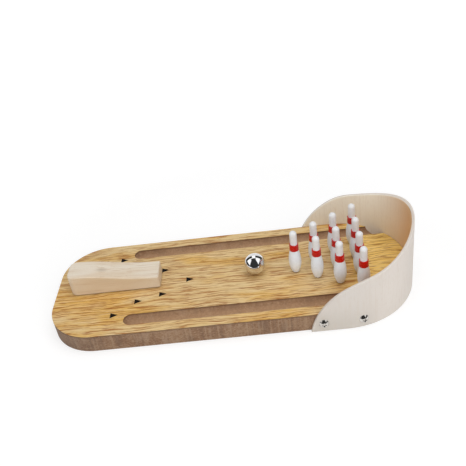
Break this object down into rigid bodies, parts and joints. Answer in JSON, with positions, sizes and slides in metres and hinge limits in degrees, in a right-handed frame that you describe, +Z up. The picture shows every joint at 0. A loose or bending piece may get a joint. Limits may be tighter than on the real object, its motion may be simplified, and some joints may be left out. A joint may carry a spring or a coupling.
{
  "type": "tabletop bowling game",
  "caption": "Tabletop bowling lane with milled gutters and a bent plywood backstop, a triangle of loose turned pins, a steel ball and a loose wooden ramp to roll it from.",
  "frame": {"origin": "on the table under the middle of the whole", "axes": "+X down the lane from the player's end to the pins, +Y to the player's left, +Z up"},
  "size_m": [0.2824, 0.1194, 0.0605],
  "materials": {
    "fibreboard": "bare cut fibreboard",
    "oak": "satin oak grain",
    "plywood": "bare pale plywood",
    "screw_steel": "polished",
    "pin_paint": "gloss white paint with a red band",
    "steel": "mirror polish",
    "beech": "bare pale wood"
  },
  "bodies": {
    "board": {"lane_board": "fibreboard", "lane_veneer": "oak", "backstop": "plywood", "front_screw_right": "screw_steel", "bend_screw_right": "screw_steel", "front_screw_left": "screw_steel", "bend_screw_left": "screw_steel"},
    "pin_1": {"pin_1": "pin_paint"},
    "pin_2": {"pin_2": "pin_paint"},
    "pin_3": {"pin_3": "pin_paint"},
    "pin_4": {"pin_4": "pin_paint"},
    "pin_5": {"pin_5": "pin_paint"},
    "pin_6": {"pin_6": "pin_paint"},
    "pin_7": {"pin_7": "pin_paint"},
    "pin_8": {"pin_8": "pin_paint"},
    "pin_9": {"pin_9": "pin_paint"},
    "pin_10": {"pin_10": "pin_paint"},
    "ball": {"ball": "steel"},
    "ramp": {"ramp": "beech"}
  },
  "joints": [
    {"name": "pin_1_lift", "type": "slide", "parent": "board", "child": "pin_1", "axis": [0, 0, 1], "range_m": [0, 0.06]},
    {"name": "pin_2_lift", "type": "slide", "parent": "board", "child": "pin_2", "axis": [0, 0, 1], "range_m": [0, 0.06]},
    {"name": "pin_3_lift", "type": "slide", "parent": "board", "child": "pin_3", "axis": [0, 0, 1], "range_m": [0, 0.06]},
    {"name": "pin_4_lift", "type": "slide", "parent": "board", "child": "pin_4", "axis": [0, 0, 1], "range_m": [0, 0.06]},
    {"name": "pin_5_lift", "type": "slide", "parent": "board", "child": "pin_5", "axis": [0, 0, 1], "range_m": [0, 0.06]},
    {"name": "pin_6_lift", "type": "slide", "parent": "board", "child": "pin_6", "axis": [0, 0, 1], "range_m": [0, 0.06]},
    {"name": "pin_7_lift", "type": "slide", "parent": "board", "child": "pin_7", "axis": [0, 0, 1], "range_m": [0, 0.06]},
    {"name": "pin_8_lift", "type": "slide", "parent": "board", "child": "pin_8", "axis": [0, 0, 1], "range_m": [0, 0.06]},
    {"name": "pin_9_lift", "type": "slide", "parent": "board", "child": "pin_9", "axis": [0, 0, 1], "range_m": [0, 0.06]},
    {"name": "pin_10_lift", "type": "slide", "parent": "board", "child": "pin_10", "axis": [0, 0, 1], "range_m": [0, 0.06]},
    {"name": "ball_roll", "type": "slide", "parent": "board", "child": "ball", "axis": [1, 0, 0], "range_m": [-0.06, 0.017]},
    {"name": "ramp_aim", "type": "slide", "parent": "board", "child": "ramp", "axis": [0, 1, 0], "range_m": [-0.02, 0.018]}
  ]
}
